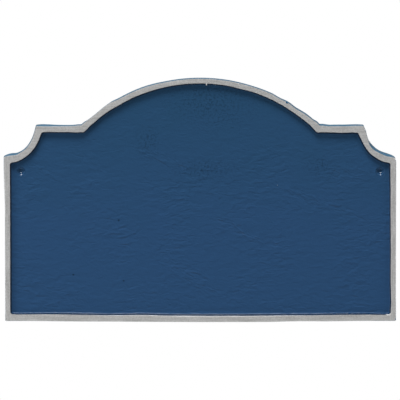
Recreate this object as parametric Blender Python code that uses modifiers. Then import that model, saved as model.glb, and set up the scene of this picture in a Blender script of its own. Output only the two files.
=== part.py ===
"""Address plaque, cast in aluminium: an arched top between flat shoulders, scooped upper corners,
a raised border round a sunk field, and a counterbored screw hole near each upper corner.

The plaque is modelled lying on its back: x runs across it, y up it and z out of its front.
It is then stood upright with its front towards -Y, its back on the plane Y = 0, and the origin
on the back, midway between the two screw holes.
"""

import math

import bmesh
import bpy

MM = 0.001

# Outline of the back face, which is the largest section of the casting, in millimetres
WIDTH = 400.0
SHOULDER_HEIGHT = 201.4
ARCH_SPAN = 243.2
ARCH_RISE = 48.0
COVE_LEG = 32.2
COVE_TIP_LENGTH = 11.0
COVE_TIP_ANGLE = math.radians(15.0)
OUTER_FOOT_RADIUS = 2.0

# Section through the plate and its border, in millimetres
THICKNESS = 9.5
RELIEF = 3.2
OUTER_DRAFT = math.radians(3.0)
INNER_DRAFT = math.radians(15.0)
EDGE_RADIUS = 0.4
FIELD_FILLET = 1.5

# Corner radii in plan, in millimetres: the border's at its front edge, the field's at its floor
BORDER_CORNER_RADIUS = 0.7
FIELD_CORNER_RADIUS = 0.4
INNER_FOOT_RADIUS = 0.6

# Width of the border's face, from its outer to its inner edge, in millimetres
BORDER_AT_BASE = 6.4
BORDER_AT_SIDE = 5.0
BORDER_AT_COVE = 6.4
BORDER_AT_SHOULDER = 6.3
BORDER_AT_APEX = 4.8
ARCH_BORDER_SWELL = 3.6

# Screw holes, in millimetres: how far their axes lie in from the side and below the shoulder
HOLE_FROM_SIDE = 16.9
HOLE_BELOW_SHOULDER = 47.7
HOLE_DIAMETER = 5.0
COUNTERBORE_DIAMETER = 8.2
COUNTERBORE_DEPTH = 1.2
COUNTERBORE_EDGE_BREAK = 0.4
CUTTER_OVERRUN = 2.0

# How finely the round shapes are divided
ARCH_SEGMENTS = 36
COVE_SEGMENTS = 12
CORNER_SEGMENTS = 4
FILLET_SEGMENTS = 4
EDGE_SEGMENTS = 3
HOLE_STEPS = 32
SHARP_ANGLE = math.radians(40.0)
MERGE_DISTANCE = 0.00001

# Finish: blue enamel all over, and bare metal where the border's face was sanded after painting
PAINT_BLUE = (0.023, 0.063, 0.144, 1.0)
PAINT_ROUGHNESS = 0.35
BARE_ALUMINIUM = (0.40, 0.40, 0.40, 1.0)
BARE_ROUGHNESS = 0.38

QUARTER = math.pi / 2
HOLE_HEIGHT = SHOULDER_HEIGHT - HOLE_BELOW_SHOULDER


def arc(centre, radius, start, end, segments):
    """Points on an arc from the start angle to the end angle, both ends included."""
    angles = [start + (end - start) * step / segments for step in range(segments + 1)]
    return [(centre[0] + radius * math.cos(a), centre[1] + radius * math.sin(a)) for a in angles]


def direction(start, end):
    """Angle of the line from one point to another."""
    return math.atan2(end[1] - start[1], end[0] - start[0])


def whole(half):
    """A closed outline from its right half: the half, then its mirror image back to the base."""
    return half + [(-x, y) for x, y in reversed(half[:-1])]


def arch_radius():
    """Radius of the outer arch, from its span and its rise."""
    return (ARCH_SPAN**2 / 4 + ARCH_RISE**2) / (2 * ARCH_RISE)


def arch_with_foot(centre_height, radius, shoulder, foot_radius):
    """Right half of an arch up to its apex, and the small arc that leads into it from the shoulder."""
    foot_height = shoulder + foot_radius
    foot_x = math.sqrt((radius + foot_radius) ** 2 - (foot_height - centre_height) ** 2)
    foot, centre = (foot_x, foot_height), (0.0, centre_height)
    lead_in = arc(foot, foot_radius, -QUARTER, direction(foot, centre), CORNER_SEGMENTS)
    crown = arc(centre, radius, direction(centre, foot), QUARTER, ARCH_SEGMENTS)
    return lead_in + crown[1:]


def outer_cove():
    """Radius of the scooped corner's arc, and how far its centre lies in from the side and shoulder.

    The arc runs tangent into two straight tips, which meet the side and the shoulder at an angle.
    """
    sine, cosine = math.sin(COVE_TIP_ANGLE), math.cos(COVE_TIP_ANGLE)
    radius = (COVE_LEG - COVE_TIP_LENGTH * (sine + cosine)) / (cosine - sine)
    return radius, COVE_TIP_LENGTH * cosine - radius * sine


def back_outline(corner_radius):
    """Right half of the back face's outline, from the base corner to the apex."""
    radius, inset = outer_cove()
    side = WIDTH / 2
    cove_centre = (side - inset, SHOULDER_HEIGHT - inset)
    tip = COVE_LEG + corner_radius * math.tan((QUARTER - COVE_TIP_ANGLE) / 2)
    lower_tip = (side - corner_radius, SHOULDER_HEIGHT - tip)
    upper_tip = (side - tip, SHOULDER_HEIGHT - corner_radius)
    tip_turn = QUARTER - COVE_TIP_ANGLE
    centre_height = SHOULDER_HEIGHT + ARCH_RISE - arch_radius()
    return [
        *arc((side - corner_radius, corner_radius), corner_radius, -QUARTER, 0.0, CORNER_SEGMENTS),
        *arc(lower_tip, corner_radius, 0.0, tip_turn, CORNER_SEGMENTS),
        *arc(cove_centre, radius, tip_turn - math.pi, -QUARTER - tip_turn, COVE_SEGMENTS),
        *arc(upper_tip, corner_radius, COVE_TIP_ANGLE, QUARTER, CORNER_SEGMENTS),
        *arch_with_foot(centre_height, arch_radius(), SHOULDER_HEIGHT, OUTER_FOOT_RADIUS),
    ]


def rim_outline(outer_edge, corner_radius):
    """Right half of the border's inner edge, from the base corner to the apex."""
    side = WIDTH / 2 - outer_edge - BORDER_AT_SIDE
    shoulder = SHOULDER_HEIGHT - outer_edge - BORDER_AT_SHOULDER
    foot = (side - corner_radius, outer_edge + BORDER_AT_BASE + corner_radius)

    # The inner cove is one arc about the point where the outer side and shoulder would meet.
    outer_radius, inset = outer_cove()
    scoop_depth = outer_radius + inset * math.sqrt(2.0)
    meeting = (WIDTH / 2, SHOULDER_HEIGHT)
    cove_radius = scoop_depth + outer_edge + BORDER_AT_COVE
    reach = cove_radius + corner_radius
    across = meeting[0] - side + corner_radius
    lower = (side - corner_radius, meeting[1] - math.sqrt(reach**2 - across**2))
    down = meeting[1] - shoulder + corner_radius
    upper = (meeting[0] - math.sqrt(reach**2 - down**2), shoulder - corner_radius)
    lower_way, upper_way = direction(meeting, lower), direction(meeting, upper)

    # The inner arch has its centre above the outer one, so the border widens towards its feet.
    apex = SHOULDER_HEIGHT + ARCH_RISE - outer_edge - BORDER_AT_APEX
    centre_height = SHOULDER_HEIGHT + ARCH_RISE - arch_radius() + ARCH_BORDER_SWELL
    return [
        *arc(foot, corner_radius, -QUARTER, 0.0, CORNER_SEGMENTS),
        *arc(lower, corner_radius, 0.0, direction(lower, meeting), CORNER_SEGMENTS),
        *arc(meeting, cove_radius, lower_way, upper_way, COVE_SEGMENTS)[1:-1],
        *arc(upper, corner_radius, direction(upper, meeting), QUARTER, CORNER_SEGMENTS),
        *arch_with_foot(centre_height, apex - centre_height, shoulder, INNER_FOOT_RADIUS),
    ]


def outer_wall_profile():
    """(inset, height) from the back edge up the drafted wall and over its rounded front edge."""
    sine = math.sin(OUTER_DRAFT)
    rise = THICKNESS - EDGE_RADIUS * (1 - sine)
    flat_starts = EDGE_RADIUS * math.cos(OUTER_DRAFT) + rise * math.tan(OUTER_DRAFT)
    centre = (flat_starts, THICKNESS - EDGE_RADIUS)
    return arc(centre, EDGE_RADIUS, math.pi - OUTER_DRAFT, QUARTER, EDGE_SEGMENTS)


def field_wall_profile():
    """(inset, height) from the border's flat face over its inner edge and down to the field."""
    field = THICKNESS - RELIEF
    rounding = EDGE_RADIUS + FIELD_FILLET
    straight_drop = RELIEF - rounding * (1 - math.sin(INNER_DRAFT))
    run = rounding * math.cos(INNER_DRAFT) + straight_drop * math.tan(INNER_DRAFT)
    edge_centre, fillet_centre = (0.0, THICKNESS - EDGE_RADIUS), (run, field + FIELD_FILLET)
    edge = arc(edge_centre, EDGE_RADIUS, QUARTER, INNER_DRAFT, EDGE_SEGMENTS)
    fillet = arc(fillet_centre, FIELD_FILLET, math.pi + INNER_DRAFT, math.pi + QUARTER, FILLET_SEGMENTS)
    return edge[1:] + fillet


def sweep_inwards(mesh, outline, height, profile):
    """Draws the outline as a face and carries that face in and along through the profile's steps."""
    corners = [mesh.verts.new((x * MM, y * MM, height * MM)) for x, y in outline]
    face = mesh.faces.new(corners)
    face.normal_update()
    inset = 0.0
    for next_inset, next_height in profile:
        bmesh.ops.inset_region(
            mesh,
            faces=[face],
            thickness=(next_inset - inset) * MM,
            depth=(next_height - height) * MM,
            use_boundary=True,
            use_even_offset=True,
        )
        inset, height = next_inset, next_height
    return face


def open_edges(mesh, height):
    """The edges of the holes that are still open at one height."""
    level = height * MM
    return [
        edge
        for edge in mesh.edges
        if edge.is_boundary and all(abs(vert.co.z - level) < MERGE_DISTANCE for vert in edge.verts)
    ]


def casting_mesh():
    """The plaque without its screw holes."""
    outer_wall, field_wall = outer_wall_profile(), field_wall_profile()
    flat_starts, field_starts = outer_wall[-1][0], field_wall[-1][0]
    outer_edge = THICKNESS * math.tan(OUTER_DRAFT)
    back = whole(back_outline(BORDER_CORNER_RADIUS + flat_starts))
    rim = whole(rim_outline(outer_edge, FIELD_CORNER_RADIUS + field_starts))

    mesh = bmesh.new()
    front_face = sweep_inwards(mesh, back, 0.0, outer_wall)
    bmesh.ops.delete(mesh, geom=[front_face], context="FACES_ONLY")
    sweep_inwards(mesh, rim, THICKNESS, field_wall)
    bmesh.ops.triangle_fill(mesh, edges=open_edges(mesh, THICKNESS), use_beauty=True)
    bmesh.ops.holes_fill(mesh, edges=open_edges(mesh, 0.0), sides=0)
    bmesh.ops.recalc_face_normals(mesh, faces=mesh.faces)
    return mesh


def make_collection(name):
    """A new collection in the scene."""
    collection = bpy.data.collections.new(name)
    bpy.context.scene.collection.children.link(collection)
    return collection


def make_object(name, mesh, collection, parent):
    """An object made from a bmesh, in a collection and on a parent."""
    data = bpy.data.meshes.new(name)
    mesh.to_mesh(data)
    mesh.free()
    made = bpy.data.objects.new(name, data)
    made.parent = parent
    collection.objects.link(made)
    return made


def make_material(name, colour, roughness, metallic):
    """A material with one Principled BSDF."""
    material = bpy.data.materials.new(name)
    material.use_nodes = True
    shader = material.node_tree.nodes["Principled BSDF"]
    shader.inputs["Base Color"].default_value = colour
    shader.inputs["Roughness"].default_value = roughness
    shader.inputs["Metallic"].default_value = metallic
    return material


def screw_hole_cutter(side, collection, parent):
    """A turned cutter for one hole, its counterbore and the broken edge at the field."""
    field = THICKNESS - RELIEF
    hole, bore = HOLE_DIAMETER / 2, COUNTERBORE_DIAMETER / 2
    flare = COUNTERBORE_EDGE_BREAK + CUTTER_OVERRUN
    seat = field - COUNTERBORE_DEPTH
    profile = [
        (0.0, field + CUTTER_OVERRUN),
        (bore + flare, field + CUTTER_OVERRUN),
        (bore, field - COUNTERBORE_EDGE_BREAK),
        (bore, seat),
        (hole, seat),
        (hole, -CUTTER_OVERRUN),
        (0.0, -CUTTER_OVERRUN),
    ]
    mesh = bmesh.new()
    verts = [mesh.verts.new((x * MM, 0.0, z * MM)) for x, z in profile]
    for start, end in zip(verts, verts[1:]):
        mesh.edges.new((start, end))
    cutter = make_object(f"screw_hole_cutter_{side}", mesh, collection, parent)
    turn = cutter.modifiers.new("turn", "SCREW")
    turn.steps = turn.render_steps = HOLE_STEPS
    turn.use_merge_vertices = True
    turn.merge_threshold = MERGE_DISTANCE
    cutter.hide_render = True
    cutter.display_type = "WIRE"
    return cutter


def build():
    for old in list(bpy.data.objects):
        bpy.data.objects.remove(old)
    parts, cutters = make_collection("address_plaque"), make_collection("cutters")

    # The empty stands the plaque upright and puts the screw holes' line on the origin.
    upright = bpy.data.objects.new("plaque_upright", None)
    upright.rotation_euler = (QUARTER, 0.0, 0.0)
    upright.location = (0.0, 0.0, -HOLE_HEIGHT * MM)
    parts.objects.link(upright)

    plaque = make_object("plaque_casting", casting_mesh(), parts, upright)
    plaque.data.materials.append(make_material("blue_enamel", PAINT_BLUE, PAINT_ROUGHNESS, 0.0))
    plaque.data.materials.append(
        make_material("sanded_aluminium", BARE_ALUMINIUM, BARE_ROUGHNESS, 1.0)
    )
    for face in plaque.data.polygons:
        lowest = min(plaque.data.vertices[corner].co.z for corner in face.vertices)
        face.material_index = int(lowest > (THICKNESS - EDGE_RADIUS) * MM)
    plaque.data.shade_smooth()
    plaque.data.set_sharp_from_angle(angle=SHARP_ANGLE)

    for side, name in ((-1, "left"), (1, "right")):
        cutter = screw_hole_cutter(name, cutters, upright)
        cutter.location = (side * (WIDTH / 2 - HOLE_FROM_SIDE) * MM, HOLE_HEIGHT * MM, 0.0)
        drill = plaque.modifiers.new(f"screw_hole_{name}", "BOOLEAN")
        drill.operation = "DIFFERENCE"
        drill.object = cutter


build()
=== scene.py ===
import math

import bmesh
import bpy
import numpy as np
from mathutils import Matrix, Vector


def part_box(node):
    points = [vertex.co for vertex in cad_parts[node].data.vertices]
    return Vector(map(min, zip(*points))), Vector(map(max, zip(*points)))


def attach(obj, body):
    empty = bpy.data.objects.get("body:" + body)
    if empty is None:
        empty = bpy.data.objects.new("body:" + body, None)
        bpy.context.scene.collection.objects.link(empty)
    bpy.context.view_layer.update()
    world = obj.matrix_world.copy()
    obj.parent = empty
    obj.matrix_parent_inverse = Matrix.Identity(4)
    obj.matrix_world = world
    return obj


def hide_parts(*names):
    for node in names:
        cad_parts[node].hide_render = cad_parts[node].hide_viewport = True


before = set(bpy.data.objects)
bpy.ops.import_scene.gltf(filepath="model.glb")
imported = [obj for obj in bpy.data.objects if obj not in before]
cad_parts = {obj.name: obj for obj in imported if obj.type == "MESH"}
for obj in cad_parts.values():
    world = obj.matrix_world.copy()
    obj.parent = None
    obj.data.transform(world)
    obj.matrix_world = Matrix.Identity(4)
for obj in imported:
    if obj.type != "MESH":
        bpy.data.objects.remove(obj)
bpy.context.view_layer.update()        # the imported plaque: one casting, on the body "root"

# The casting
# One open-face sand casting in aluminium, 9.5 mm thick, with a raised border round a sunk field and two
# screw holes. It is enamelled all over, and the border's face is then sanded back to the bare metal.
MM = 0.001
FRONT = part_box("plaque_casting")[0].y
FIELD = FRONT + 3.2 * MM


def edit(piece):
    """Opens one piece in edit mode, ready to take faces, with none of them selected."""
    bpy.ops.object.select_all(action="DESELECT")
    bpy.context.view_layer.objects.active = piece
    piece.select_set(True)
    bpy.ops.object.mode_set(mode="EDIT")
    bpy.ops.mesh.select_mode(type="FACE")
    bpy.ops.mesh.select_all(action="DESELECT")


def apply_modifiers(piece):
    """Applies a piece's modifiers from the top down."""
    bpy.ops.object.select_all(action="DESELECT")
    bpy.context.view_layer.objects.active = piece
    piece.select_set(True)
    for modifier in list(piece.modifiers):
        bpy.ops.object.modifier_apply(modifier=modifier.name)


plaque = bpy.data.objects.new("cast_plaque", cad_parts["plaque_casting"].data.copy())
bpy.context.scene.collection.objects.link(plaque)
edit(plaque)
bpy.ops.mesh.select_all(action="SELECT")
bpy.ops.mesh.remove_doubles(threshold=0.001 * MM)
bpy.ops.mesh.dissolve_limited(angle_limit=math.radians(0.3))
bpy.ops.object.mode_set(mode="OBJECT")

# Enamel has run into each screw hole and skinned over it, in a stepped cup that fills the counterbore
# and sags, so that its two sloping walls are wider below. Each step of the cup is a width, a depth and a
# shift upwards in millimetres, and each wall has two steps, so that smooth shading keeps its slope.
HOLE_X = 183.1 * MM
COUNTERBORE_RADIUS = 4.1 * MM
SKIN_BELOW_FIELD = 0.15 * MM
SKIN_THICKNESS = 2.8 * MM
LEDGE, OUTER_WALL = (0.3, 0.05, 0.0), (0.4, 0.47, 0.22)
INNER_LEDGE, INNER_WALL = (0.5, 0.05, 0.4), (0.33, 0.38, 0.18)
for side in (-1, 1):
    bpy.ops.mesh.primitive_cylinder_add(
        vertices=32,
        radius=COUNTERBORE_RADIUS + 0.1 * MM,
        depth=SKIN_THICKNESS,
        location=(side * HOLE_X, FIELD + SKIN_BELOW_FIELD + SKIN_THICKNESS / 2, 0.0),
        rotation=(math.pi / 2, 0.0, 0.0),
    )
    skin = bpy.context.object
    bpy.ops.object.transform_apply(location=True, rotation=True, scale=True)
    edit(skin)
    mesh = bmesh.from_edit_mesh(skin.data)
    for face in mesh.faces:
        face.select_set(face.normal.y < -0.99)
    mesh.select_flush_mode()
    bmesh.update_edit_mesh(skin.data)
    for inset, sink, rise in (LEDGE, OUTER_WALL, OUTER_WALL, INNER_LEDGE, INNER_WALL, INNER_WALL):
        bpy.ops.mesh.inset(thickness=inset * MM, depth=-sink * MM)
        bpy.ops.transform.translate(value=(0.0, 0.0, rise * MM))
    bpy.ops.object.mode_set(mode="OBJECT")
    fill = plaque.modifiers.new("enamel skin", "BOOLEAN")
    fill.operation = "UNION"
    fill.object = skin
    apply_modifiers(plaque)
    bpy.data.objects.remove(skin)
edit(plaque)
bpy.ops.mesh.select_all(action="SELECT")
bpy.ops.mesh.dissolve_degenerate(threshold=0.01 * MM)
bpy.ops.object.mode_set(mode="OBJECT")

# A grid of cuts gives the flat faces and the long edges the points that the casting's unevenness needs.
CELL = 5.0 * MM
edit(plaque)
lowest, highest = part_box("plaque_casting")
for axis in (0, 2):
    cut = lowest[axis] + CELL / 2
    while cut < highest[axis]:
        on_cut, across_cut = Vector(), Vector()
        on_cut[axis], across_cut[axis] = cut, 1.0
        bpy.ops.mesh.select_all(action="SELECT")
        bpy.ops.mesh.bisect(plane_co=on_cut, plane_no=across_cut)
        cut += CELL
bpy.ops.object.mode_set(mode="OBJECT")

finer = plaque.modifiers.new("finer", "SUBSURF")
finer.subdivision_type = "SIMPLE"
finer.levels = finer.render_levels = 1
apply_modifiers(plaque)

# Where this casting departs from its drawing, in millimetres on its front: pattern, sand and grinder
# have each left an edge proud or shy. Each row has a spot, how far the change runs along and across
# its heading in degrees, how far it moves the metal, and at which level: at all levels alike, most at
# the front, or only about the field, where it changes the hollow corner. The rows work in this order.
DEPARTURES = (
    ((15, -154), (135, 60), 0, (0.0, -0.55), "all"),
    ((-185, -154), (70, 30), 0, (0.0, 0.60), "all"),
    ((180, -154), (80, 30), 0, (0.0, 0.70), "all"),
    ((101, -154), (30, 8), 0, (0.0, 0.50), "all"),
    ((185, -146), (16, 4), 0, (0.0, -0.60), "all"),
    ((194, -140), (28, 4), 90, (0.75, 0.0), "all"),
    ((0, 70), (150, 60), 0, (-0.35, 0.0), "all"),
    ((-202, 6), (44, 8), 90, (-1.10, 0.0), "all"),
    ((-193, -60), (110, 4), 90, (0.25, 0.0), "all"),
    ((192.5, 4), (28, 4.5), 90, (-0.75, 0.0), "all"),
    ((202, -150), (30, 8), 90, (0.35, 0.0), "all"),
    ((0, -148), (260, 4), 0, (0.0, -0.66), "all"),
    ((-150, 47.5), (26, 4), 0, (0.0, -0.40), "front"),
    ((142, 47.5), (34, 4), 0, (0.0, -0.45), "front"),
    ((-158, 50), (12, 7), 0, (0.0, 0.55), "all"),
    ((-136, 50), (16, 7), 0, (0.0, -0.30), "all"),
    ((-123, 51), (9, 6), 0, (0.0, 1.3), "all"),
    ((-116.5, 43), (8, 4.5), 45, (0.35, -0.40), "all"),
    ((-107, 62), (15, 7.5), 36, (0.75, -1.05), "all"),
    ((-105, 62), (28, 8), 37, (-0.75, 1.0), "front"),
    ((-100, 58), (9, 4.5), 40, (0.15, -0.20), "all"),
    ((-91, 72), (8, 7), 31, (-0.20, 0.45), "all"),
    ((-58, 88), (32, 7), 20, (0.0, 0.65), "all"),
    ((50, 92), (36, 7), -17, (0.0, -0.30), "all"),
    ((97.5, 67.5), (15, 7.5), -30, (-0.40, -0.80), "all"),
    ((123.7, 51), (10, 6), 0, (0.0, 1.95), "all"),
    ((158, 50), (14, 7), 0, (0.0, 0.60), "all"),
    ((142, 38), (32, 5), 0, (0.0, -1.0), "all"),
    ((160, 38), (6, 6), 0, (-0.6, -0.9), "all"),
    ((168.5, 47), (5, 6), 0, (-1.3, 0.0), "all"),
    ((174, 39.5), (14, 7.5), 110, (-0.85, -0.30), "all"),
    ((172.9, 31.4), (9, 5), 123, (-0.38, -0.25), "all"),
    ((189, 23), (12, 7.5), 158, (0.27, 0.70), "all"),
    ((173, 17), (16, 5), 140, (-0.55, -0.65), "all"),
    ((176.8, 25.2), (12, 5.5), 136, (-1.32, -1.37), "front"),
    ((189.4, 18.4), (12, 5.5), 160, (-0.55, -1.50), "front"),
    ((190, 19.5), (9, 5), 160, (0.05, 0.3), "all"),
    ((202, 15.5), (7, 6), 0, (-1.40, -0.90), "all"),
    ((-195.3, 18.3), (9, 7), 0, (-0.1, 1.45), "all"),
    ((-170.1, 29.4), (15, 9), 57, (-0.50, 0.33), "all"),
    ((-162.5, 35), (14, 4.5), 70, (-0.50, -0.25), "all"),
    ((-158, 48), (15, 5), 0, (0.1, -0.45), "front"),
    ((-191, 17), (10, 8), 15, (0.2, -1.0), "front"),
    ((-174, 29), (18, 6), 50, (0.25, -0.25), "front"),
    ((100, 64), (28, 8), -34, (-0.25, -0.35), "front"),
    ((100, 58), (34, 6), -33, (-0.1, -0.2), "all"),
    ((146, 39), (14, 4), 0, (0.0, -0.35), "all"),
    ((0, -145.3), (250, 7), 0, (0.0, 1.3), "field"),
    ((191.5, -60), (130, 6), 90, (0.4, 0.0), "field"),
    ((-128, 50), (14, 5), 0, (0.0, 0.30), "front"),
    ((-113.5, 55), (9, 5), 37, (0.1, 0.1), "all"),
    ((-127, 41), (8, 4), 0, (0.0, -0.4), "all"),
    ((-163, 38), (6, 4), 0, (0.0, -0.35), "all"),
    ((-163, 50), (8, 4), 0, (0.0, 0.35), "all"),
    ((142, 50), (14, 5), 0, (0.0, 0.3), "all"),
    ((40, 85), (16, 4), -13, (0.0, -0.4), "all"),
    ((-112, 47), (7, 4), 45, (-0.2, 0.3), "all"),
    ((-143, -146.5), (50, 4), 0, (0.0, 0.7), "all"),
    ((-192, -146), (6, 6), 0, (0.35, 0.35), "all"),
    ((184, -146.5), (14, 4), 0, (0.0, 0.4), "all"),
    ((194, -30), (60, 4), 90, (-0.4, 0.0), "all"),
    ((194, -143), (12, 5), 90, (-0.6, 0.0), "all"),
    ((-113, 52), (14, 14), 37, (0.4, -0.6), "all"),
    ((-82, 70), (16, 6), 30, (0.0, -0.45), "all"),
    ((81, 76), (9, 7), -30, (-0.2, -0.7), "all"),
    ((92, 70), (7, 7), -30, (0.15, 0.4), "all"),
    ((117, 42), (9, 5), -45, (-0.35, -0.75), "all"),
    ((185, 11), (10, 4.5), 160, (-0.3, -0.7), "all"),
    ((-185, 11), (8, 4.5), 20, (0.3, -0.3), "all"),
    ((-60, -147), (30, 4), 0, (0.0, 0.6), "all"),
)


LEVELS = {
    "all": lambda y: 1.0,
    "front": lambda y: y / FRONT,
    "field": lambda y: np.clip(1.0 - np.abs(y - FIELD) / (FIELD - FRONT), 0.0, None),
}


def depart(points, spot, reach, heading, move, level):
    """Moves the metal round one spot, fading out smoothly, as proportional editing does."""
    turn = math.radians(heading)
    x, z = points[:, 0] / MM - spot[0], points[:, 2] / MM - spot[1]
    along = (x * math.cos(turn) + z * math.sin(turn)) / reach[0]
    across = (z * math.cos(turn) - x * math.sin(turn)) / reach[1]
    nearness = np.clip(1.0 - along**2 - across**2, 0.0, None) ** 2 * LEVELS[level](points[:, 1])
    points[:, 0] += nearness * move[0] * MM
    points[:, 2] += nearness * move[1] * MM


points = np.empty(len(plaque.data.vertices) * 3)
plaque.data.vertices.foreach_get("co", points)
for spot, reach, heading, move, level in DEPARTURES:
    depart(points.reshape(-1, 3), spot, reach, heading, move, level)
plaque.data.vertices.foreach_set("co", points)
plaque.data.update()

bpy.ops.object.shade_smooth_by_angle(angle=math.radians(40.0))
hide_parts("plaque_casting")
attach(plaque, "root")


# The finish
# Two finishes share the casting: baked enamel in the hollows and on the walls, dark blue and satin, and
# bare aluminium wherever the sander reached, which is the border's face and a hair of its edges.
ENAMEL_BLUE = "#234163"
# A darker, greener blue, painted as shade towards the top.
ENAMEL_SHADED_TOP = "#1F3F5C"
# An almost black blue, painted as shade on the walls round the field.
WALL_SHADE_BLUE = "#041E36"
# A paler blue, painted as light on the outer walls.
OUTER_WALL_LIGHT_BLUE = "#31566E"
# An almost black blue, painted as the shade in pits and specks.
PIT_SHADE_BLUE = "#041524"
ALUMINIUM_LIGHT = "#E4E4E4"
ALUMINIUM_DARK = "#C2C2C1"


def linear(hex_colour):
    """An sRGB hex colour as linear red, green, blue and an alpha of 1."""
    values = [int(hex_colour[i : i + 2], 16) / 255 for i in (1, 3, 5)]
    return [v / 12.92 if v <= 0.04045 else ((v + 0.055) / 1.055) ** 2.4 for v in values] + [1.0]


def add(tree, kind, settings=(), **links):
    """Adds a node to a tree, sets its settings, and links each input that is given a socket or fills it
    in. An input is called by its name, with underscores for spaces, or by an i and its number."""
    node = tree.nodes.new("ShaderNode" + kind)
    for name, value in dict(settings).items():
        setattr(node, name, value)
    for name, value in links.items():
        key = name.replace("_", " ").strip()
        socket = node.inputs[int(key[1:])] if key[1:].isdigit() else node.inputs[key]
        if isinstance(value, bpy.types.NodeSocket):
            tree.links.new(value, socket)
        else:
            socket.default_value = value
    return node


finish = bpy.data.materials.new("enamelled sand casting with sanded border")
finish.use_nodes = True
tree = finish.node_tree
tree.nodes.clear()
place = add(tree, "TexCoord").outputs["Object"]
depth = add(tree, "SeparateXYZ", Vector=place).outputs["Y"]


def near(spots):
    """How near the surface is to the nearest of some spots: 1 at a spot's middle and 0 past its reach.
    Each has its place, its reach along and across its heading in millimetres, and that heading."""
    nearest = 0.0
    for at, reach, heading in spots:
        from_spot = add(
            tree,
            "Mapping",
            {"vector_type": "TEXTURE"},
            Vector=place,
            Location=(at[0] * MM, 0.0, at[1] * MM),
            Rotation=(0.0, -math.radians(heading), 0.0),
            Scale=(reach[0] * MM, 1000.0, reach[1] * MM),
        )
        away = add(tree, "VectorMath", {"operation": "LENGTH"}, i0=from_spot.outputs[0])
        inside = add(tree, "MapRange", Value=away.outputs["Value"], From_Min=1.0, From_Max=0.0)
        nearest = add(tree, "Math", {"operation": "MAXIMUM"}, i0=inside.outputs[0], i1=nearest).outputs[0]
    return nearest


# The enamel is satin with little shine, and smooth and glossy in the screw holes, where it lies as it ran.
ENAMEL_SPECULAR = 0.12
ENAMEL_ROUGHNESS, HOLE_ROUGHNESS = 0.3, 0.08
HOLE_REACH = (6.0, 6.0)
HOLES = (((-HOLE_X / MM, 0.0), HOLE_REACH, 0), ((HOLE_X / MM, 0.0), HOLE_REACH, 0))
at_hole = near(HOLES)
enamel_roughness = add(
    tree,
    "MapRange",
    Value=at_hole,
    From_Min=0.1,
    From_Max=0.35,
    To_Min=ENAMEL_ROUGHNESS,
    To_Max=HOLE_ROUGHNESS,
)
clear_of_holes = add(tree, "MapRange", Value=at_hole, From_Min=0.05, From_Max=0.0)

# The enamel keeps the cast skin's ripples: metal that cooled as it ran, mostly level, and slanting
# along a few cold flow lines. They are about 3 mm wide and a tenth of a millimetre high, twice as long
# as wide, and come in patches that fade towards the top.
RIPPLE_PITCH, RIPPLE_STRETCH = 4.4 * MM, 2.0
FLOW_PITCH, FLOW_STRETCH = 4.0 * MM, 2.6
FLOW_SLANT = math.radians(23.0)
RIPPLE_RELIEF = 0.75 * MM
PATCH_PITCH = 45.0 * MM
level_place = add(
    tree, "Mapping", {"vector_type": "TEXTURE"}, Vector=place, Scale=(RIPPLE_STRETCH, 1.0, 1.0)
)
ripples = add(
    tree,
    "TexNoise",
    Vector=level_place.outputs[0],
    Scale=1 / RIPPLE_PITCH,
    Detail=1.2,
    Roughness=0.5,
    Distortion=0.6,
)
patches = add(tree, "TexNoise", Vector=place, Scale=1 / PATCH_PITCH, Detail=1.0)
patchy = add(
    tree, "MapRange", Value=patches.outputs["Fac"], From_Min=0.35, From_Max=0.65, To_Min=0.4, To_Max=1.3
)
height = add(tree, "SeparateXYZ", Vector=place).outputs["Z"]
calmer = add(tree, "MapRange", Value=height, From_Min=-20 * MM, From_Max=60 * MM, To_Min=1.0, To_Max=0.4)
fading = add(tree, "Math", {"operation": "MULTIPLY"}, i0=patchy.outputs[0], i1=calmer.outputs[0])
level_wave = add(tree, "Math", {"operation": "SUBTRACT"}, i0=ripples.outputs["Fac"], i1=0.5)
level_height = add(tree, "Math", {"operation": "MULTIPLY"}, i0=level_wave.outputs[0], i1=fading.outputs[0])
slanted_place = add(
    tree,
    "Mapping",
    {"vector_type": "TEXTURE"},
    Vector=place,
    Rotation=(0.0, FLOW_SLANT, 0.0),
    Scale=(FLOW_STRETCH, 1.0, 1.0),
)
slanting = add(
    tree,
    "TexNoise",
    Vector=slanted_place.outputs[0],
    Scale=1 / FLOW_PITCH,
    Detail=1.5,
    Roughness=0.5,
    Distortion=0.5,
)
FLOW_LINES = (
    ((37, -58), (42, 6), -28),
    ((128, -34), (66, 8), -21),
    ((-40, 14), (44, 7), -22),
    ((-154, -1), (24, 6), -32),
    ((-8, -108), (46, 12), -28),
    ((150, -2), (30, 9), 0),
)
along_lines = add(tree, "MapRange", Value=near(FLOW_LINES), From_Max=0.5, To_Max=1.6)
slanting_wave = add(tree, "Math", {"operation": "SUBTRACT"}, i0=slanting.outputs["Fac"], i1=0.5)
slanting_height = add(
    tree, "Math", {"operation": "MULTIPLY"}, i0=slanting_wave.outputs[0], i1=along_lines.outputs[0]
)
waves = add(tree, "Math", {"operation": "ADD"}, i0=level_height.outputs[0], i1=slanting_height.outputs[0])
waves_clear = add(tree, "Math", {"operation": "MULTIPLY"}, i0=waves.outputs[0], i1=clear_of_holes.outputs[0])
ripple_bump = add(tree, "Bump", Strength=1.0, Distance=RIPPLE_RELIEF, Height=waves_clear.outputs[0])
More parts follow.
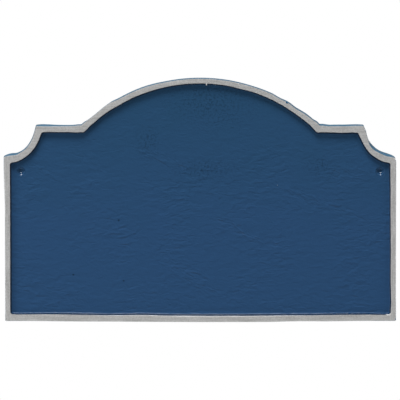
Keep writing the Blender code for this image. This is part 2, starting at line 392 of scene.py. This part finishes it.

# Sand grain shows faintly all over, drawn 2.2 mm wide so that it shows, and stands out in four rougher
# patches, the largest of them under the top of the arch, where its dark specks are painted shade.
GRAIN_PITCH = 2.2 * MM
GRAIN_RELIEF, ROUGH_RELIEF = 0.08 * MM, 0.3 * MM
grain = add(tree, "TexNoise", Vector=place, Scale=1 / GRAIN_PITCH, Detail=2.0, Roughness=0.6)
ROUGH_PATCHES = (
    ((8, 72), (62, 36), -12),
    ((-53, 30), (16, 22), 0),
    ((5, 2), (44, 15), 0),
    ((121, 6), (20, 13), 0),
)
rough = near(ROUGH_PATCHES)
relief = add(tree, "MapRange", Value=rough, From_Max=0.5, To_Min=GRAIN_RELIEF, To_Max=ROUGH_RELIEF)
grain_bump = add(
    tree,
    "Bump",
    Strength=1.0,
    Distance=relief.outputs[0],
    Height=grain.outputs["Fac"],
    Normal=ripple_bump.outputs[0],
)
specks = add(tree, "MapRange", Value=grain.outputs["Fac"], From_Min=0.5, From_Max=0.64, To_Max=0.45)
speck_shade = add(tree, "Math", {"operation": "MULTIPLY"}, i0=specks.outputs[0], i1=rough)

# The blue is painted a little darker, greener and greyer towards the top as painted shade, along a limit that
# wanders up and down.
SWELL_PITCH, SWELL_RISE = 35.0 * MM, 60 * MM
swell = add(tree, "TexNoise", Vector=place, Scale=1 / SWELL_PITCH, Detail=1.0)
wander = add(tree, "Math", {"operation": "MULTIPLY_ADD"}, i0=swell.outputs["Fac"], i1=SWELL_RISE, i2=height)
shade_towards_top = add(tree, "MapRange", Value=wander.outputs[0], From_Min=-30 * MM, From_Max=110 * MM)
blue = add(
    tree,
    "Mix",
    {"data_type": "RGBA"},
    i0=shade_towards_top.outputs[0],
    i6=linear(ENAMEL_BLUE),
    i7=linear(ENAMEL_SHADED_TOP),
)

# Painted shade: the enamel on the walls round the field is painted almost black, least on the lower wall,
# which faces up to the light. Painted light: the same enamel is painted paler on the plaque's outer walls,
# whose faces look away from the plaque's middle.
MIDDLE = (0.0, FRONT, -50 * MM)
LOWER_WALL_SHADE_LIFT = 0.45 * MM
facing = add(tree, "NewGeometry").outputs["Normal"]
from_middle = add(tree, "VectorMath", {"operation": "SUBTRACT"}, i0=place, i1=MIDDLE)
outwards = add(tree, "VectorMath", {"operation": "DOT_PRODUCT"}, i0=facing, i1=from_middle.outputs[0])
looks_out = add(tree, "MapRange", Value=outwards.outputs["Value"], From_Min=10 * MM, From_Max=30 * MM)
outer = add(tree, "Math", {"operation": "MULTIPLY"}, i0=looks_out.outputs[0], i1=clear_of_holes.outputs[0])
inner = add(tree, "MapRange", Value=outwards.outputs["Value"], From_Min=-10 * MM, From_Max=-30 * MM)
facing_up = add(tree, "SeparateXYZ", Vector=facing).outputs["Z"]
shade_lift = add(tree, "MapRange", Value=facing_up, From_Max=0.4, To_Max=LOWER_WALL_SHADE_LIFT)
foot = add(tree, "Math", {"operation": "SUBTRACT"}, i0=FIELD, i1=shade_lift.outputs[0])
risen = add(tree, "Math", {"operation": "SUBTRACT"}, i0=foot.outputs[0], i1=depth)
off_field = add(tree, "MapRange", Value=risen.outputs[0], From_Min=0.08 * MM, From_Max=0.35 * MM)
wall_shade = add(tree, "Math", {"operation": "MULTIPLY"}, i0=off_field.outputs[0], i1=inner.outputs[0])
coat = add(
    tree,
    "Mix",
    {"data_type": "RGBA"},
    i0=wall_shade.outputs[0],
    i6=blue.outputs[2],
    i7=linear(WALL_SHADE_BLUE),
)
coat = add(
    tree,
    "Mix",
    {"data_type": "RGBA"},
    i0=outer.outputs[0],
    i6=coat.outputs[2],
    i7=linear(OUTER_WALL_LIGHT_BLUE),
)

# Three pits in the field are painted almost black as the shade inside them, like the specks of the rough
# patches.
PITS = (
    ((-83.5, -49.7), (1.5, 1.5), 0),
    ((-129.9, -105.4), (1.5, 1.3), 0),
    ((-78.4, -111.5), (1.3, 1.3), 0),
)
pit_and_speck_shade = add(tree, "Math", {"operation": "ADD"}, i0=near(PITS), i1=speck_shade.outputs[0])
coat_with_pit_shade = add(
    tree,
    "Mix",
    {"data_type": "RGBA"},
    i0=pit_and_speck_shade.outputs[0],
    i6=coat.outputs[2],
    i7=linear(PIT_SHADE_BLUE),
)

# Sanded aluminium: a satin grey of crossing scratches, and long streaks that run as the sander did, along
# the border: level at the top and bottom and upright at the sides. Real scratches are a tenth of a
# millimetre wide, so both are drawn coarser to show.
METAL_ROUGHNESS = 0.5
SCRATCH_PITCH, SCRATCH_RELIEF = 1.3 * MM, 0.02 * MM
STREAK_PITCH, STREAK_STRETCH = 1.5 * MM, 12.0
level_run = add(tree, "Mapping", {"vector_type": "TEXTURE"}, Vector=place, Scale=(STREAK_STRETCH, 1.0, 1.0))
upright_run = add(tree, "Mapping", {"vector_type": "TEXTURE"}, Vector=place, Scale=(1.0, 1.0, STREAK_STRETCH))
sideways = add(tree, "SeparateXYZ", Vector=place).outputs["X"]
from_centre = add(tree, "Math", {"operation": "ABSOLUTE"}, i0=sideways)
at_side = add(tree, "MapRange", Value=from_centre.outputs[0], From_Min=191 * MM, From_Max=193 * MM)
sanded = add(
    tree,
    "Mix",
    {"data_type": "VECTOR"},
    i0=at_side.outputs[0],
    i4=level_run.outputs[0],
    i5=upright_run.outputs[0],
)
scratches = add(tree, "TexNoise", Vector=place, Scale=1 / SCRATCH_PITCH, Detail=2.0, Roughness=0.6)
streaks = add(tree, "TexNoise", Vector=sanded.outputs[1], Scale=1 / STREAK_PITCH, Detail=2.0)
sanding = add(tree, "Math", {"operation": "ADD"}, i0=scratches.outputs["Fac"], i1=streaks.outputs["Fac"])
shine = add(tree, "MapRange", Value=sanding.outputs[0], From_Min=0.65, From_Max=1.35)
metal_grey = add(
    tree,
    "Mix",
    {"data_type": "RGBA"},
    i0=shine.outputs[0],
    i6=linear(ALUMINIUM_DARK),
    i7=linear(ALUMINIUM_LIGHT),
)
scratch_bump = add(tree, "Bump", Strength=1.0, Distance=SCRATCH_RELIEF, Height=scratches.outputs["Fac"])

# The sander's reach: a few hundredths of a millimetre into the front, with a ragged limit, and more
# along the lower border and the sides. A burr is bare at the lower right corner, two chips show bare
# metal on the top wall and in the field, and the enamel stayed in three nicks of the outer edge.
LEAST_SANDED, MOST_SANDED = 0.01 * MM, 0.06 * MM
WORN_DEPTH, BURR_DEPTH, CHIP_DEPTH = 0.09 * MM, 0.45 * MM, 3.4 * MM
RAGGED_PITCH = 6.0 * MM
ragged = add(tree, "TexNoise", Vector=place, Scale=1 / RAGGED_PITCH, Detail=3.0)
limit = add(
    tree,
    "MapRange",
    Value=ragged.outputs["Fac"],
    To_Min=FRONT + LEAST_SANDED,
    To_Max=FRONT + MOST_SANDED,
)
WORN = (
    ((0, -148.5), (205, 3), 0),
    ((0, -154), (230, 3), 0),
    ((-200, -72), (96, 3), 90),
    ((200, -74), (94, 3), 90),
)
worn = add(tree, "MapRange", Value=near(WORN), From_Max=0.4, To_Max=WORN_DEPTH)
BURR = (((192.4, -146.2), (4.8, 1.3), 17),)
burr = add(tree, "MapRange", Value=near(BURR), From_Min=0.1, From_Max=0.3, To_Max=BURR_DEPTH)
CHIPS = (((6.2, 89.6), (0.9, 2.0), 0), ((78.6, -13.8), (0.32, 0.32), 0))
chipped = add(tree, "MapRange", Value=near(CHIPS), From_Min=0.1, From_Max=0.3, To_Max=CHIP_DEPTH)
burred = add(tree, "Math", {"operation": "ADD"}, i0=worn.outputs[0], i1=burr.outputs[0])
ground = add(tree, "Math", {"operation": "ADD"}, i0=burred.outputs[0], i1=chipped.outputs[0])
SPARED = (
    ((-124, 48.8), (2.6, 0.8), 0),
    ((88.1, 70.8), (1.6, 1.2), -30),
    ((199.7, -150.6), (0.8, 1.2), 0),
)
OUT_OF_REACH = -20 * MM
spared = add(tree, "MapRange", Value=near(SPARED), From_Min=0.1, From_Max=0.4, To_Max=OUT_OF_REACH)
reached = add(tree, "Math", {"operation": "ADD"}, i0=limit.outputs[0], i1=ground.outputs[0])
left_bare = add(tree, "Math", {"operation": "ADD"}, i0=reached.outputs[0], i1=spared.outputs[0])
past = add(tree, "Math", {"operation": "SUBTRACT"}, i0=left_bare.outputs[0], i1=depth)
bare = add(tree, "MapRange", Value=past.outputs[0], From_Min=0.0, From_Max=0.01 * MM)

# Where the metal is bare, it takes over from the enamel in colour, roughness and relief. One shader
# carries both, so that the exported model keeps the metal's shine.
colour = add(
    tree,
    "Mix",
    {"data_type": "RGBA"},
    i0=bare.outputs[0],
    i6=coat_with_pit_shade.outputs[2],
    i7=metal_grey.outputs[2],
)
roughness = add(
    tree,
    "MapRange",
    Value=bare.outputs[0],
    To_Min=enamel_roughness.outputs[0],
    To_Max=METAL_ROUGHNESS,
)
bumps = add(
    tree,
    "Mix",
    {"data_type": "VECTOR"},
    i0=bare.outputs[0],
    i4=grain_bump.outputs[0],
    i5=scratch_bump.outputs[0],
)
enamel_or_metal = add(
    tree,
    "BsdfPrincipled",
    Base_Color=colour.outputs[2],
    Metallic=bare.outputs[0],
    Roughness=roughness.outputs[0],
    Specular_IOR_Level=ENAMEL_SPECULAR,
    Normal=bumps.outputs[1],
)
add(tree, "OutputMaterial", Surface=enamel_or_metal.outputs[0])
plaque.data.materials.clear()
plaque.data.materials.append(finish)

# The studio
# A pale painted floor well below the plaque, a white background that the camera sees, a dim even light
# from all round, and four soft boxes: a large one above, one at each side, and a weak one behind.
FLOOR_SIZE = 3.0
FLOOR_DROP = 0.80
AMBIENT = 0.27

bpy.ops.mesh.primitive_plane_add(size=FLOOR_SIZE, location=(0.0, 0.0, lowest.z - FLOOR_DROP))
floor = bpy.context.object
floor.name = "floor"
floor_paint = bpy.data.materials.new("pale floor paint")
floor_paint.use_nodes = True
matt = floor_paint.node_tree.nodes["Principled BSDF"]
matt.inputs["Base Color"].default_value = linear("#E9E9E6")
matt.inputs["Roughness"].default_value = 0.9
floor.data.materials.append(floor_paint)

world = bpy.data.worlds.new("pale room")
bpy.context.scene.world = world
world.use_nodes = True
tree = world.node_tree
tree.nodes.clear()
seen = add(tree, "LightPath").outputs["Is Camera Ray"]
strength = add(tree, "MapRange", Value=seen, To_Min=AMBIENT, To_Max=1.0)
room = add(tree, "Background", Color=linear("#FFFFFF"), Strength=strength.outputs[0])
add(tree, "OutputWorld", Surface=room.outputs[0])


def soft_box(name, place, width, height, watts):
    """A rectangular area light that faces the plaque, with its place and sides in metres."""
    light = bpy.data.lights.new(name, "AREA")
    light.shape = "RECTANGLE"
    light.size, light.size_y, light.energy = width, height, watts
    box = bpy.data.objects.new(name, light)
    box.location = place
    box.rotation_euler = (-Vector(place)).to_track_quat("-Z", "Y").to_euler()
    bpy.context.scene.collection.objects.link(box)


soft_box("key_soft_box", (-0.35, -0.85, 2.4), 1.3, 0.8, 116.0)
soft_box("left_soft_box", (-2.4, -1.0, 0.0), 0.8, 1.6, 30.0)
soft_box("right_soft_box", (2.4, -1.0, -0.2), 0.8, 1.6, 11.0)
soft_box("back_soft_box", (0.5, 2.5, -0.4), 0.8, 0.8, 12.0)

# The camera
# A long lens 4 m away, nearly square on and a little above the plaque. It aims beside the middle of the
# plaque's front, so that the plaque fills the width of the picture.
CAMERA_DISTANCE = 4.0
CAMERA_RISE = math.radians(3.9)
METRES_PER_PIXEL = 1.0196 * MM
IMAGE_WIDTH = 400
AIM = Vector((-0.44, -9.5, -28.7)) * MM
towards_camera = Vector((0.0, -math.cos(CAMERA_RISE), math.sin(CAMERA_RISE)))
camera = bpy.data.objects.new("camera", bpy.data.cameras.new("camera"))
camera.location = AIM + towards_camera * CAMERA_DISTANCE
camera.rotation_euler = (-towards_camera).to_track_quat("-Z", "Y").to_euler()
camera.data.sensor_width = 36.0
camera.data.lens = camera.data.sensor_width * CAMERA_DISTANCE / (IMAGE_WIDTH * METRES_PER_PIXEL)
camera.data.clip_end = 50.0
bpy.context.scene.collection.objects.link(camera)
bpy.context.scene.camera = camera
bpy.context.scene.view_settings.view_transform = "Standard"
